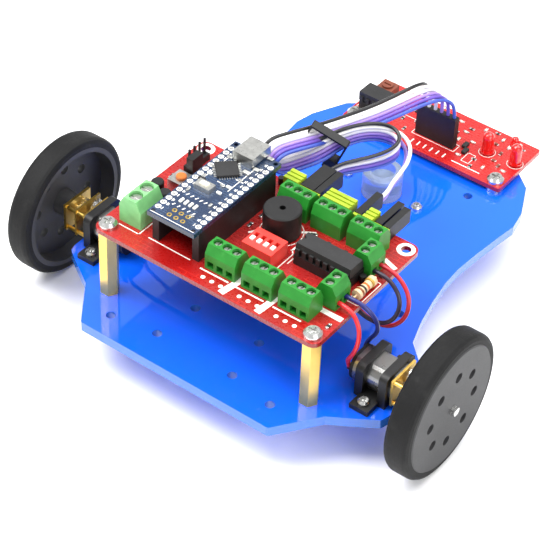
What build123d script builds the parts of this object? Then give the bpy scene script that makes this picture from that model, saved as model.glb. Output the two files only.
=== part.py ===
from build123d import *
import math
import os

# Two wheel robot car: acrylic plate, two gearmotors with wheels, ball caster at the front,
# stacked control board on two brass posts, line-sensor board overhanging the front edge.
# Millimetres, +Z up, +Y forwards, +X to the right. The floor is Z = 0.
# Everything is laid out from the wheel axle (Y = 0) and shifted by SHIFT_Y when written.

os.makedirs("parts", exist_ok=True)

SHIFT_Y = -45.0
WHEEL_R = 24.0          # tyre outer radius, and axle height
HUB_R = 21.0
TYRE_X0, TYRE_X1 = 68.3, 76.7
HUB_X1 = 77.0
SHAFT_TIP = 78.5
PLATE_T = 3.5
PLATE_TOP = 18.0
PLATE_BOT = PLATE_TOP - PLATE_T
POST_L = 25.0
PCB_T = 1.6
PCB_Z0 = PLATE_TOP + POST_L
PCB_Z1 = PCB_Z0 + PCB_T
PCB_X = 42.0
PCB_Y0, PCB_Y1 = -21.7, 33.4
HOLE_X = 38.5
HOLE_Y0, HOLE_Y1 = -18.2, 29.9
M3_HOLE_R = 1.6
SENS_Z0 = 19.6
SENS_Z1 = SENS_Z0 + 1.6
SENS_X = 32.0
SENS_Y0, SENS_Y1 = 98.0, 125.0
SENS_HX, SENS_HY = 28.6, 101.2    # its two fixing holes
CAN_R, CAN_FLAT = 6.0, 5.0       # gearmotor can: round with two flats
CAN_X0, CAN_X1 = 45.2, 59.0
CAP_X0 = 44.0
GEAR_X1 = 68.0
TEETH_P, TEETH_G = 8, 20
AXIS_D = 3.4                     # output axle to layshaft
LAY_Y, LAY_Z = 2.6, math.sqrt(3.4 ** 2 - 2.6 ** 2)
MODULE = 2 * AXIS_D / (TEETH_P + TEETH_G)
CASTER_Y = 76.0
BALL_R = 6.0
DU = 17.8                        # controller module width
NX0, NY0 = -24.4, -16.7          # controller module corner
NL = 43.2
NZ0 = PCB_Z1 + 10.8              # controller board underside
NZ1 = NZ0 + 1.6


def save(name, shape):
    shape = shape.moved(Location((0, SHIFT_Y, 0)))
    export_step(shape, "parts/%s.step" % name)


def box(x0, x1, y0, y1, z0, z1):
    return Pos((x0 + x1) / 2, (y0 + y1) / 2, (z0 + z1) / 2) * Box(x1 - x0, y1 - y0, z1 - z0)


def cyl(x, y, z0, z1, r):
    return Pos(x, y, (z0 + z1) / 2) * Cylinder(r, z1 - z0)


def cylx(x0, x1, r, y=0.0, z=WHEEL_R):
    return Pos((x0 + x1) / 2, y, z) * Rot(0, 90, 0) * Cylinder(r, x1 - x0)


def cyly(x, z, y0, y1, r):
    return Pos(x, (y0 + y1) / 2, z) * Rot(90, 0, 0) * Cylinder(r, y1 - y0)


def prism_x(pts, x0, x1):
    # pts are (y, z); extruded along +X from x0 to x1
    pl = Plane(origin=(x0, 0, 0), x_dir=(0, 1, 0), z_dir=(1, 0, 0))
    f = make_face(Polyline(*[(a, b) for a, b in pts], close=True))
    return pl * extrude(f, x1 - x0)


def prism_z(pts, z0, z1):
    f = make_face(Polyline(*pts, close=True))
    return Pos(0, 0, z0) * extrude(f, z1 - z0)


def rev_x(pts):
    # pts are (x, r); turned about the axle line
    f = make_face(Polyline(*[(a, b) for a, b in pts], close=True))
    s = revolve(f, axis=Axis.X)
    return Pos(0, 0, WHEEL_R) * s


def rev_z(x, y, pts):
    # pts are (r, z)
    pl = Plane(origin=(0, 0, 0), x_dir=(1, 0, 0), z_dir=(0, -1, 0))
    f = pl * make_face(Polyline(*pts, close=True))
    return Pos(x, y, 0) * revolve(f, axis=Axis.Z)


def mir(s):
    return mirror(s, about=Plane.YZ)


def group(*shapes):
    solids = []
    for s in shapes:
        if isinstance(s, (list, tuple)):
            for t in s:
                solids += list(t.solids())
        else:
            solids += list(s.solids())
    return Compound(children=solids)


def chamf(s, edges, d):
    try:
        return chamfer(edges, d)
    except Exception:
        return s


def fil(s, edges, r):
    try:
        return fillet(edges, r)
    except Exception:
        return s


# ------------------------------------------------------------------ chassis plate
half = [(31.0, 113.0), (37.0, 108.0), (40.2, 101.2), (42.8, 95.5), (44.2, 88.3), (43.3, 80.6), (42.2, 70.0),
        (41.5, 59.5), (41.9, 51.2), (43.6, 40.9), (45.9, 31.1), (49.0, 21.8), (53.5, 17.6), (60.0, 11.5),
        (61.0, 9.0), (61.0, -9.0), (60.2, -11.6), (55.2, -15.0), (46.4, -20.6), (36.0, -35.0)]
outline = half + [(-x, y) for x, y in reversed(half)]
plate = prism_z(outline, PLATE_BOT, PLATE_TOP)
plate = fil(plate, plate.edges().filter_by(Axis.Z), 1.2)
SPARE = [(30.7, -26.9), (14.5, -24.2), (12.4, -8.0), (24.0, 52.0), (24.0, 92.0), (10.0, 52.0)]
BR_Y = 10.4                                                   # bracket screws, each side of the motor
BR_X = 52.9
cut = [cyl(s * x, y, PLATE_BOT - 1, PLATE_TOP + 1, M3_HOLE_R) for x, y in SPARE for s in (1, -1)]
cut += [cyl(s * HOLE_X, HOLE_Y0, PLATE_BOT - 1, PLATE_TOP + 1, M3_HOLE_R) for s in (1, -1)]
cut += [cyl(s * HOLE_X, HOLE_Y1, PLATE_BOT - 1, PLATE_TOP + 1, M3_HOLE_R) for s in (1, -1)]
cut += [cyl(s * BR_X, t * BR_Y, PLATE_BOT - 1, PLATE_TOP + 1, 1.1) for s in (1, -1) for t in (1, -1)]
cut += [cyl(s * SENS_HX, SENS_HY, PLATE_BOT - 1, PLATE_TOP + 1, M3_HOLE_R) for s in (1, -1)]
cut += [cyl(0, CASTER_Y, PLATE_BOT - 1, PLATE_TOP + 1, 6.9)]
cut += [cyl(s * 14.0, CASTER_Y, PLATE_BOT - 1, PLATE_TOP + 1, 1.1) for s in (1, -1)]
for c in cut:
    plate = plate - c
save("chassis_plate", plate)

# ------------------------------------------------------------------ posts and M3 screws
posts = []
for s in (1, -1):
    p = Pos(s * HOLE_X, HOLE_Y0, PLATE_TOP) * extrude(RegularPolygon(5.5 / 2 / math.cos(math.pi / 6), 6), POST_L)
    p = p - cyl(s * HOLE_X, HOLE_Y0, PLATE_TOP - 0.1, PCB_Z0 + 0.1, 1.5)
    posts.append(p)
save("brass_posts", group(posts))

m3 = []


def pan_screw(x, y, z, up, r_head, h, r, length):
    # head above (up=1) or below (up=-1) the plane z, shank the other way, turned in one piece
    prof = [(0, z - up * length), (r, z - up * length), (r, z), (r_head, z), (r_head, z + up * h * 0.55), (r_head * 0.72, z + up * h), (0, z + up * h)]
    if up < 0:
        prof = prof[::-1]
    b = rev_z(x, y, prof)
    za, zc = sorted((z + up * h * 0.5, z + up * (h + 1)))
    b = b - box(x - 0.35, x + 0.35, y - r_head * 0.55, y + r_head * 0.55, za, zc)
    return b - box(x - r_head * 0.55, x + r_head * 0.55, y - 0.35, y + 0.35, za, zc)


for s in (1, -1):
    m3.append(pan_screw(s * HOLE_X, HOLE_Y0, PCB_Z1, 1, 2.9, 2.0, 1.48, PCB_T + 5))
    m3.append(pan_screw(s * HOLE_X, HOLE_Y0, PLATE_BOT, -1, 2.9, 2.0, 1.48, PLATE_T + 5))
    m3.append(pan_screw(s * SENS_HX, SENS_HY, SENS_Z1, 1, 2.9, 2.0, 1.48, 9.1))
save("m3_screws", group(m3))
nuts = []
for s in (1, -1):
    n = Pos(s * SENS_HX, SENS_HY, PLATE_BOT - 2.4) * extrude(RegularPolygon(5.5 / 2 / math.cos(math.pi / 6), 6), 2.4)
    nuts.append(n - cyl(s * SENS_HX, SENS_HY, PLATE_BOT - 3, PLATE_BOT + 1, 1.5))
    sp = cyl(s * SENS_HX, SENS_HY, PLATE_TOP, SENS_Z0, 3.0) - cyl(s * SENS_HX, SENS_HY, PLATE_TOP - 1, SENS_Z0 + 1, 1.6)
    nuts.append(sp)
save("sensor_spacers_and_nuts", group(nuts))

# ------------------------------------------------------------------ main board
pcb = box(-PCB_X, PCB_X, PCB_Y0, PCB_Y1, PCB_Z0, PCB_Z1)
pcb = fil(pcb, pcb.edges().filter_by(Axis.Z), 3.0)
for x in (HOLE_X, -HOLE_X):
    for y in (HOLE_Y0, HOLE_Y1):
        pcb = pcb - cyl(x, y, PCB_Z0 - 1, PCB_Z1 + 1, M3_HOLE_R)
save("main_board", pcb)

# ------------------------------------------------------------------ screw terminals
term_screws = []


def terminal(n, pitch, h, depth, w_extra, r_mouth, screw_r):
    # wire side faces -Y, poles along X, centred on X; foot on Z = 0, screw line at Y = 0
    w = n * pitch + w_extra
    front, back = -depth * 0.52, depth * 0.48
    prof = [(front, 0), (back, 0), (back, h * 0.62), (back * 0.55, h), (-depth * 0.30, h), (front, h * 0.66)]
    pl = Plane(origin=(-w / 2, 0, 0), x_dir=(0, 1, 0), z_dir=(1, 0, 0))
    b = pl * extrude(make_face(Polyline(*prof, close=True)), w)
    sc = []
    for i in range(n):
        x = (i - (n - 1) / 2) * pitch
        b = b - box(x - r_mouth, x + r_mouth, front - 1, front + depth * 0.36, h * 0.10, h * 0.10 + 2 * r_mouth)
        b = b - cyl(x, 0, h - 3.0, h + 1, screw_r + 0.3)
        s = cyl(x, 0, h - 3.0, h - 1.0, screw_r)
        s = s - box(x - 0.25, x + 0.25, -screw_r, screw_r, h - 1.5, h)
        sc.append(s)
    return b, sc


def place(parts, x, y, z, rot):
    b, sc = parts
    loc = Location((x, y, z), (0, 0, rot))
    term_screws.extend([s.moved(loc) for s in sc])
    return b.moved(loc)


T3 = lambda: terminal(3, 3.5, 8.5, 7.2, 0.6, 1.15, 1.15)
T2 = lambda: terminal(2, 3.5, 8.5, 7.2, 0.6, 1.15, 1.15)
FRONT_X = (1.75, 15.3, 28.8)
TERM_Y = -11.1
ROW2_Y = 23.6
rear_t = [place(T3(), x, TERM_Y, PCB_Z1, 0) for x in FRONT_X]
front_t = [place(T3(), x + 0.3 if i == 0 else x - 0.1, ROW2_Y, PCB_Z1, 180) for i, x in enumerate((1.9, 15.2, 28.6))]
motor_t = [place(T2(), 34.0, -2.4, PCB_Z1, 90), place(T2(), 34.0, 15.6, PCB_Z1, 90)]
save("rear_port_terminals", group(rear_t))
save("front_port_terminals", group(front_t))
save("motor_terminals", group(motor_t))
pw = place(terminal(2, 5.08, 10.0, 8.4, 0.6, 1.8, 1.9), -33.2, -8.6, PCB_Z1, -90)
save("power_terminal", pw)
save("terminal_screws", group(term_screws))

# ------------------------------------------------------------------ controller module on its sockets
sock = []
for x in (NX0 + 1.27, NX0 + DU - 1.27):
    b = box(x - 1.24, x + 1.24, NY0 + 2.5, NY0 + 2.5 + 38.2, PCB_Z1, PCB_Z1 + 8.5)
    for i in range(15):
        y = NY0 + 2.5 + 1.27 + i * 2.54
        b = b - box(x - 0.45, x + 0.45, y - 0.45, y + 0.45, PCB_Z1 + 3.0, PCB_Z1 + 9)
    sock.append(b)
save("controller_sockets", group(sock))
nano = box(NX0, NX0 + DU, NY0, NY0 + NL, NZ0, NZ1)
for x in (NX0 + 1.27, NX0 + DU - 1.27):
    for y in (NY0 + 1.3, NY0 + NL - 1.3):
        nano = nano - cyl(x, y, NZ0 - 1, NZ1 + 1, 0.75)
save("controller_board", nano)
pins = []
for x in (NX0 + 1.27, NX0 + DU - 1.27):
    pins.append(box(x - 1.24, x + 1.24, NY0 + 2.5, NY0 + 2.5 + 38.1, PCB_Z1 + 8.5, NZ0))
    for i in range(15):
        y = NY0 + 2.5 + 1.27 + i * 2.54
        pins.append(box(x - 0.32, x + 0.32, y - 0.32, y + 0.32, PCB_Z1 + 3.2, PCB_Z1 + 8.5))
save("controller_header_pins", group(pins))
mcu_x, mcu_y = -17.5, 13.3
mcu = Pos(mcu_x, mcu_y, NZ1 + 0.5) * Rot(0, 0, 45) * Box(7.0, 7.0, 1.0)
mcu = chamf(mcu, mcu.edges().group_by(Axis.Z)[-1], 0.12)
chips = [mcu, box(-22.0, -19.8, 4.6, 5.8, NZ1, NZ1 + 0.6)]
usb_chip = box(-18.2, -12.9, -6.5, 3.7, NZ0 - 1.7, NZ0)
chips.append(usb_chip)
save("controller_chips", group(chips))
UX0, UX1, UY0, UY1 = -19.3, -11.6, 18.3, 27.6
usb = box(UX0, UX1, UY0, UY1, NZ1, NZ1 + 3.9)
usb = chamf(usb, usb.edges().filter_by(Axis.Y).group_by(Axis.Z)[0], 0.9)
usb = usb - box(UX0 + 0.5, UX1 - 0.5, UY1 - 6.0, UY1 + 1, NZ1 + 0.5, NZ1 + 3.4)
usb = usb + box((UX0 + UX1) / 2 - 2.0, (UX0 + UX1) / 2 + 2.0, UY1 - 6.2, UY1 - 1.2, NZ1 + 1.6, NZ1 + 2.3)
save("controller_usb_port", usb)
RB = (-17.6, 2.4)
rb = box(RB[0] - 2.9, RB[0] + 2.9, RB[1] - 1.75, RB[1] + 1.75, NZ1, NZ1 + 1.5)
rb = rb - box(RB[0] - 1.5, RB[0] + 1.5, RB[1] - 0.85, RB[1] + 0.85, NZ1 + 0.7, NZ1 + 3)
rp = box(RB[0] - 1.45, RB[0] + 1.45, RB[1] - 0.8, RB[1] + 0.8, NZ1 + 1.0, NZ1 + 2.2)
rp = chamf(rp, rp.edges().group_by(Axis.Z)[-1], 0.2)
save("reset_button", rp)

# ------------------------------------------------------------------ buzzer
BZ = (4.2, 12.8)
bz = cyl(BZ[0], BZ[1], PCB_Z1 + 0.3, PCB_Z1 + 9.5, 6.0)
bz = chamf(bz, bz.edges().filter_by(GeomType.CIRCLE).group_by(Axis.Z)[-1], 0.4)
bz = bz - cyl(BZ[0], BZ[1], PCB_Z1 + 7.0, PCB_Z1 + 10, 1.0)
bz = bz + cyl(BZ[0] - 3.8, BZ[1], PCB_Z1, PCB_Z1 + 0.5, 0.4) + cyl(BZ[0] + 3.8, BZ[1], PCB_Z1, PCB_Z1 + 0.5, 0.4)
save("buzzer", bz)

# ------------------------------------------------------------------ DIP switch with four sliders
DX, DY = 6.5, 1.0
DW, DD, DH = 11.0, 8.6, 5.2
ds = box(DX - DW / 2, DX + DW / 2, DY - DD / 2, DY + DD / 2, PCB_Z1, PCB_Z1 + DH)
slx = [DX - 3.81 + 2.54 * i for i in range(4)]
for x in slx:
    ds = ds - box(x - 0.7, x + 0.7, DY - 2.0, DY + 2.0, PCB_Z1 + DH - 1.8, PCB_Z1 + DH + 1)
save("dip_switch_body", ds)
for i, x in enumerate(slx):
    k = box(x - 0.62, x + 0.62, DY - 1.9, DY - 0.2, PCB_Z1 + DH - 1.75, PCB_Z1 + DH + 0.4)
    save("dip_slider_%d" % (i + 1), k)

# ------------------------------------------------------------------ driver chip in its socket
IX0, IX1, IY0, IY1 = 15.6, 35.4, 4.0, 11.0
ICZ = PCB_Z1 + 3.6
so = box(IX0, IX1, IY0 - 0.75, IY1 + 0.75, PCB_Z1, ICZ) - box(IX0 + 2, IX1 - 2, IY0 + 1.8, IY1 - 1.8, PCB_Z1 - 1, ICZ + 1)
save("driver_chip_socket", so)
ic = prism_x([(IY0 + 0.2, ICZ + 0.4), (IY1 - 0.2, ICZ + 0.4), (IY1 - 0.05, ICZ + 2.2), (IY1 - 0.5, ICZ + 3.9), (IY0 + 0.5, ICZ + 3.9), (IY0 + 0.05, ICZ + 2.2)], IX0, IX1)
ic = ic - cyl(IX0, (IY0 + IY1) / 2, ICZ + 3.2, ICZ + 5, 1.2)
legs = []
for i in range(8):
    x = (IX0 + IX1) / 2 + (i - 3.5) * 2.54
    for y0, y1 in ((IY0 - 0.55, IY0 + 0.6), (IY1 - 0.6, IY1 + 0.55)):
        legs.append(box(x - 0.7, x + 0.7, y0, y1, ICZ + 1.95, ICZ + 2.25))
    for y0, y1 in ((IY0 - 0.6, IY0 - 0.3), (IY1 + 0.3, IY1 + 0.6)):
        legs.append(box(x - 0.7, x + 0.7, y0, y1, ICZ, ICZ + 2.0))
for l in legs:
    ic = ic + l
save("driver_chip", ic)

# ------------------------------------------------------------------ right-angle port headers, pin headers, jumper plugs
HDR_X0, HDR_X1, HDR_Y0, HDR_Y1 = -7.0, 33.0, 28.4, 33.4
BASE_Y = 29.5
# plug housings pushed onto the header pins: x range and front end
PLUGS = [(-1.24, 3.84, 42.0), (4.04, 6.38, 42.0), (19.28, 21.82, 41.5), (26.9, 29.4, 42.0), (30.0, 32.4, 41.0)]
YBLOCKS = [(-7.0, -1.5), (8.0, 17.8), (22.8, 26.4)]
hb = [box(x0, x1, HDR_Y0, HDR_Y1, PCB_Z1, PCB_Z1 + 6.2) for x0, x1 in YBLOCKS]
hb = [h - box(-20, 40, y - 0.3, y + 0.3, PCB_Z1 + 5.7, PCB_Z1 + 7) for h, y in [(h, HDR_Y0 + 1.6) for h in hb]]
hb = [h - box(-20, 40, y - 0.3, y + 0.3, PCB_Z1 + 5.7, PCB_Z1 + 7) for h, y in [(h, HDR_Y0 + 3.3) for h in hb]]
for x0, x1, y1 in PLUGS:
    h = box(x0, x1, HDR_Y0, BASE_Y, PCB_Z1, PCB_Z1 + 5.0)
    n = 2 if x1 - x0 > 4 else 1
    for k in range(n):
        x = (x0 + x1) / 2 + (k - (n - 1) / 2) * 2.54
        for z in (PCB_Z1 + 1.4, PCB_Z1 + 3.94):
            h = h + box(x - 0.32, x + 0.32, BASE_Y - 0.2, BASE_Y + 6.0, z - 0.32, z + 0.32)
    hb.append(h)
save("port_headers", group(hb))
lh = []
LHX = -35.6
lb = box(LHX - 1.27, LHX + 1.27, 16.4, 16.4 + 4 * 2.54, PCB_Z1, PCB_Z1 + 2.5)
for i in range(4):
    y = 16.4 + 1.27 + i * 2.54
    lb = lb + box(LHX - 0.32, LHX + 0.32, y - 0.32, y + 0.32, PCB_Z1, PCB_Z1 + 8.6)
lh.append(lb)
lh.append(box(LHX + 1.6, LHX + 4.1, 14.2, 19.3, PCB_Z1, PCB_Z1 + 8.5))
save("side_headers", group(lh))
pl = []
for x0, x1, y1 in PLUGS:
    b = box(x0 + 0.05, x1 - 0.05, BASE_Y + 0.02, y1, PCB_Z1 + 0.12, PCB_Z1 + 5.3)
    n = 2 if x1 - x0 > 4 else 1
    for k in range(n):
        x = (x0 + x1) / 2 + (k - (n - 1) / 2) * 2.54
        for z in (PCB_Z1 + 1.4, PCB_Z1 + 3.94):
            b = b - box(x - 0.4, x + 0.4, BASE_Y - 0.2, BASE_Y + 6.1, z - 0.4, z + 0.4)
    pl.append(b)
save("jumper_plugs", group(pl))

# ------------------------------------------------------------------ start button, LEDs, capacitors, resistor
SB = (-33.0, 10.4)
sb = box(SB[0] - 3.1, SB[0] + 3.1, SB[1] - 3.1, SB[1] + 3.1, PCB_Z1, PCB_Z1 + 3.4) - cyl(SB[0], SB[1], PCB_Z1 + 1.4, PCB_Z1 + 4, 1.8)
save("push_switch_bodies", group(rb, sb))
sc_ = cyl(SB[0], SB[1], PCB_Z1 + 2.0, PCB_Z1 + 4.4, 1.7)
sc_ = chamf(sc_, sc_.edges().filter_by(GeomType.CIRCLE).group_by(Axis.Z)[-1], 0.25)
save("start_button", sc_)


def led(x, y, z, r, h):
    b = cyl(x, y, z, z + 0.8, r + 0.4) + cyl(x, y, z + 0.8, z + h - r, r)
    dome = Pos(x, y, z + h - r) * Sphere(r)
    return b + (dome & box(x - r - 1, x + r + 1, y - r - 1, y + r + 1, z + h - r - 0.2, z + h + 1))


leds = [led(-38.6, -1.6, PCB_Z1 + 0.4, 1.5, 4.4)]
leds += [led(18.2, 112.5, SENS_Z1 + 0.4, 2.0, 7.8), led(29.0, 113.0, SENS_Z1 + 0.4, 2.0, 7.8), led(23.6, 121.6, SENS_Z1 + 0.2, 1.3, 3.4)]
save("indicator_leds", group(leds))
caps = [cyl(-36.4, 3.0, PCB_Z1 + 0.2, PCB_Z1 + 5.2, 2.0), cyl(-31.9, 1.0, PCB_Z1 + 0.2, PCB_Z1 + 4.6, 1.9)]
caps = [chamf(c, c.edges().filter_by(GeomType.CIRCLE).group_by(Axis.Z)[-1], 0.3) for c in caps]
cm = []
for x, y in ((-9.6, 31.2), (36.6, 9.6), (20.2, 14.6), (26.4, 14.6)):
    cm.append(cyl(x, y, PCB_Z1 + 0.2, PCB_Z1 + 2.6, 1.05))
save("capacitors", group(caps, cm))
RX = 39.7
RZ = PCB_Z1 + 2.0
rs = cyly(RX, RZ, 1.8, 10.4, 1.4) + cyly(RX, RZ, 1.8, 3.9, 1.7) + cyly(RX, RZ, 8.3, 10.4, 1.7)
rs = rs + cyly(RX, RZ, 0.6, 11.6, 0.3) + cyl(RX, 0.6, PCB_Z1, RZ + 0.3, 0.3) + cyl(RX, 11.6, PCB_Z1, RZ + 0.3, 0.3)
save("axial_resistor", rs)

# ------------------------------------------------------------------ wheels
tyre_prof = [(TYRE_X0, HUB_R), (TYRE_X0, WHEEL_R - 1.6), (TYRE_X0 + 0.45, WHEEL_R - 0.6), (TYRE_X0 + 1.3, WHEEL_R - 0.1),
             (TYRE_X0 + 1.9, WHEEL_R), (TYRE_X1 - 1.9, WHEEL_R), (TYRE_X1 - 1.3, WHEEL_R - 0.1), (TYRE_X1 - 0.45, WHEEL_R - 0.6),
             (TYRE_X1, WHEEL_R - 1.6), (TYRE_X1, HUB_R)]
D_FLAT = 0.5          # flat on the 3 mm output shaft, at 1.0 from its axis


def wheel_hub():
    prof = [(TYRE_X0, HUB_R), (TYRE_X0, HUB_R - 1.6), (TYRE_X0 + 5.4, HUB_R - 2.0), (TYRE_X0 + 5.4, 4.6), (TYRE_X0 + 0.6, 4.0),
            (TYRE_X0 + 0.6, 1.53), (HUB_X1 - 0.0, 1.53), (HUB_X1, HUB_R - 0.4), (HUB_X1 - 0.4, HUB_R)]
    h = rev_x(prof)
    for k in range(8):
        a = 2.236 - k * math.pi / 4
        h = h - cylx(TYRE_X0 + 5, HUB_X1 + 1, 1.7, 12.0 * math.cos(a), WHEEL_R + 12.0 * math.sin(a))
    h = h + box(TYRE_X0 + 0.6, HUB_X1, -1.4, 1.4, WHEEL_R + 1.04, WHEEL_R + 1.9)
    return h


# ------------------------------------------------------------------ gearmotor
def can_prof(rr, flat):
    a = math.sqrt(rr ** 2 - flat ** 2)
    pts = []
    t0 = math.atan2(flat, a)
    n = 10
    for i in range(n + 1):
        t = -t0 + 2 * t0 * i / n
        pts.append((rr * math.cos(t), WHEEL_R + rr * math.sin(t)))
    for i in range(n + 1):
        t = math.pi - t0 + 2 * t0 * i / n
        pts.append((rr * math.cos(t), WHEEL_R + rr * math.sin(t)))
    return pts


def gear_pts(cy, cz, n, phase, mod):
    rp = n * mod / 2
    ra = rp + 0.80 * mod
    rr_ = rp - 1.05 * mod
    hp = 0.40 * math.pi / n            # half tooth angle at the pitch circle, thinned for backlash
    root_h = hp * 1.25
    tip_h = hp * 0.45
    if n < 12:
        root_h = hp * 1.0
        tip_h = hp * 0.50
    pts = []
    for k in range(n):
        c = phase + 2 * math.pi * k / n
        for rad, da in ((rr_, -root_h), (rp, -hp), (ra, -tip_h), (ra, tip_h), (rp, hp), (rr_, root_h)):
            pts.append((cy + rad * math.cos(c + da), cz + rad * math.sin(c + da)))
    return pts


PHI = math.atan2(LAY_Z, LAY_Y)
X_ROT0, X_ROT1 = 60.3, 62.2        # rotor pinion and layshaft large gear
X_OUT0, X_OUT1 = 64.2, 66.2        # layshaft pinion and output gear


def motor_parts():
    can = prism_x(can_prof(CAN_R, CAN_FLAT), CAN_X0, CAN_X1)
    can = can - cylx(CAN_X0 - 1, CAN_X1 - 1.0, 4.6) - cylx(CAN_X1 - 2, CAN_X1 + 1, 0.56)
    cap = prism_x(can_prof(CAN_R - 0.15, CAN_FLAT - 0.15), CAP_X0, CAN_X0) - cylx(CAP_X0 - 1, CAN_X0 + 1, 0.56)
    for y in (-4.0, 4.0):
        cap = cap + box(CAP_X0 - 1.7, CAP_X0 + 0.2, y - 0.4, y + 0.4, WHEEL_R - 1.2, WHEEL_R + 1.2)
    # gearbox: three brass plates held apart by four posts
    fr = None
    for x0, x1 in ((59.0, 59.8), (62.7, 63.4), (67.0, 68.0)):
        p = box(x0, x1, -6.0, 6.0, WHEEL_R - 5.0, WHEEL_R + 5.0)
        if x0 == 59.0:
            p = p - cylx(x0 - 1, x1 + 1, 0.8)
            p = p - cylx(x0 - 1, x1 + 1, 0.44, LAY_Y, WHEEL_R + LAY_Z)
        elif x0 == 62.7:
            p = p - cylx(x0 - 1, x1 + 1, 1.25, LAY_Y, WHEEL_R + LAY_Z)
            p = p - cylx(x0 - 1, x1 + 1, 0.6)
        else:
            p = p - cylx(x0 - 1, x1 + 1, 1.55)
            p = p - cylx(x0 - 1, x1 + 1, 0.44, LAY_Y, WHEEL_R + LAY_Z)
        fr = p if fr is None else fr + p
    for y, z in ((-5.1, -4.1), (-5.1, 4.1), (5.3, -4.3)):
        fr = fr + cylx(59.0, 68.0, 0.7, y, WHEEL_R + z)
    # armature: shaft, core and pinion
    rot = cylx(CAP_X0 + 0.2, X_ROT1, 0.5) + cylx(CAN_X0 + 1.2, CAN_X1 - 2.0, 4.0)
    rot = rot + prism_x(gear_pts(0, WHEEL_R, TEETH_P, PHI, MODULE), X_ROT0, X_ROT1)
    # layshaft with its large gear and pinion
    ly, lz = LAY_Y, WHEEL_R + LAY_Z
    lay = cylx(59.1, 67.9, 0.40, ly, lz)
    lay = lay + prism_x(gear_pts(ly, lz, TEETH_G, PHI + math.pi + math.pi / TEETH_G, MODULE), X_ROT0 + 0.2, X_ROT1 - 0.2)
    lay = lay + prism_x(gear_pts(ly, lz, TEETH_P, PHI + math.pi + math.pi / TEETH_P, MODULE), X_ROT1 - 0.3, X_OUT1 + 0.2)
    # output shaft: 3 mm with a flat, carrying the output gear
    out = cylx(X_OUT0, SHAFT_TIP, 1.5)
    out = out - box(68.4, SHAFT_TIP + 1, -2, 2, WHEEL_R + 1.0, WHEEL_R + 3)
    out = out + cylx(62.8, X_OUT0, 0.55)
    out = out + prism_x(gear_pts(0, WHEEL_R, TEETH_G, PHI, MODULE), X_OUT0, X_OUT1)
    return can, cap, fr, rot, lay, out


can, cap, fr, rot, lay, out = motor_parts()
tyre = rev_x(tyre_prof)
hub = wheel_hub()
for side, f in (("right", lambda s: s), ("left", mir)):
    save(side + "_tyre", f(tyre))
    save(side + "_wheel_hub", f(hub))
    save(side + "_output_shaft", f(out))
    save(side + "_layshaft", f(lay))
    save(side + "_motor_armature", f(rot))
    save(side + "_motor_can", f(can))
    save(side + "_gearbox_frame", f(fr))
save("motor_end_caps", group(cap, mir(cap)))

# ------------------------------------------------------------------ motor brackets and M2 screws
br = box(47.4, 58.4, -7.6, 7.6, PLATE_TOP, WHEEL_R - CAN_FLAT)
for x0, x1 in ((47.4, 50.2), (55.6, 58.4)):
    st = box(x0, x1, -7.6, 7.6, PLATE_TOP, WHEEL_R + 6.2)
    st = fil(st, st.edges().filter_by(Axis.X).group_by(Axis.Z)[-1], 2.4)
    st = st - prism_x(can_prof(CAN_R + 0.02, CAN_FLAT + 0.0), x0 - 1, x1 + 1)
    br = br + st
br = br + box(49.6, 56.2, -13.2, 13.2, PLATE_TOP, PLATE_TOP + 1.8)
br = br - prism_x(can_prof(CAN_R + 0.02, CAN_FLAT + 0.0), 40, 60)
for t in (1, -1):
    br = br - cyl(BR_X, t * BR_Y, PLATE_TOP - 1, PLATE_TOP + 3, 1.1)
save("motor_brackets", group(br, mir(br)))
m2 = []
for s in (1, -1):
    for t in (1, -1):
        m2.append(pan_screw(s * BR_X, t * BR_Y, PLATE_TOP + 1.8, 1, 1.9, 1.4, 0.98, 8.0))
        n = Pos(s * BR_X, t * BR_Y, PLATE_BOT - 1.6) * extrude(RegularPolygon(4.0 / 2 / math.cos(math.pi / 6), 6), 1.6)
        m2.append(n - cyl(s * BR_X, t * BR_Y, PLATE_BOT - 3, PLATE_BOT + 1, 1.0))
    m2.append(pan_screw(s * 14.0, CASTER_Y, PLATE_TOP, 1, 1.9, 1.4, 0.98, 8.6))
    n = Pos(s * 14.0, CASTER_Y, PLATE_BOT - 2.0 - 1.6) * extrude(RegularPolygon(4.0 / 2 / math.cos(math.pi / 6), 6), 1.6)
    m2.append(n - cyl(s * 14.0, CASTER_Y, PLATE_BOT - 6, PLATE_BOT, 1.0))
save("m2_screws_and_nuts", group(m2))

# ------------------------------------------------------------------ ball caster
ch = rev_z(0, CASTER_Y, [(0, 11.8), (0, 24.0), (4.2, 24.0), (4.2, 27.0), (6.2, 27.0), (6.75, 26.4), (6.75, PLATE_BOT), (8.6, PLATE_BOT),
                         (8.6, 3.2), (7.4, 2.6), (5.2, 2.6), (5.2, 11.8)])
ch = ch + box(-17.0, 17.0, CASTER_Y - 3.4, CASTER_Y + 3.4, PLATE_BOT - 2.0, PLATE_BOT)
for s in (1, -1):
    ch = ch - cyl(s * 14.0, CASTER_Y, PLATE_BOT - 5, PLATE_BOT + 1, 1.1)
ch = ch - Pos(0, CASTER_Y, BALL_R) * Sphere(BALL_R + 0.3)
ch = ch - cyl(0, CASTER_Y, 0, 3.4, 5.7)
save("caster_housing", ch)
save("caster_ball", Pos(0, CASTER_Y, BALL_R) * Sphere(BALL_R))

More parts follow.
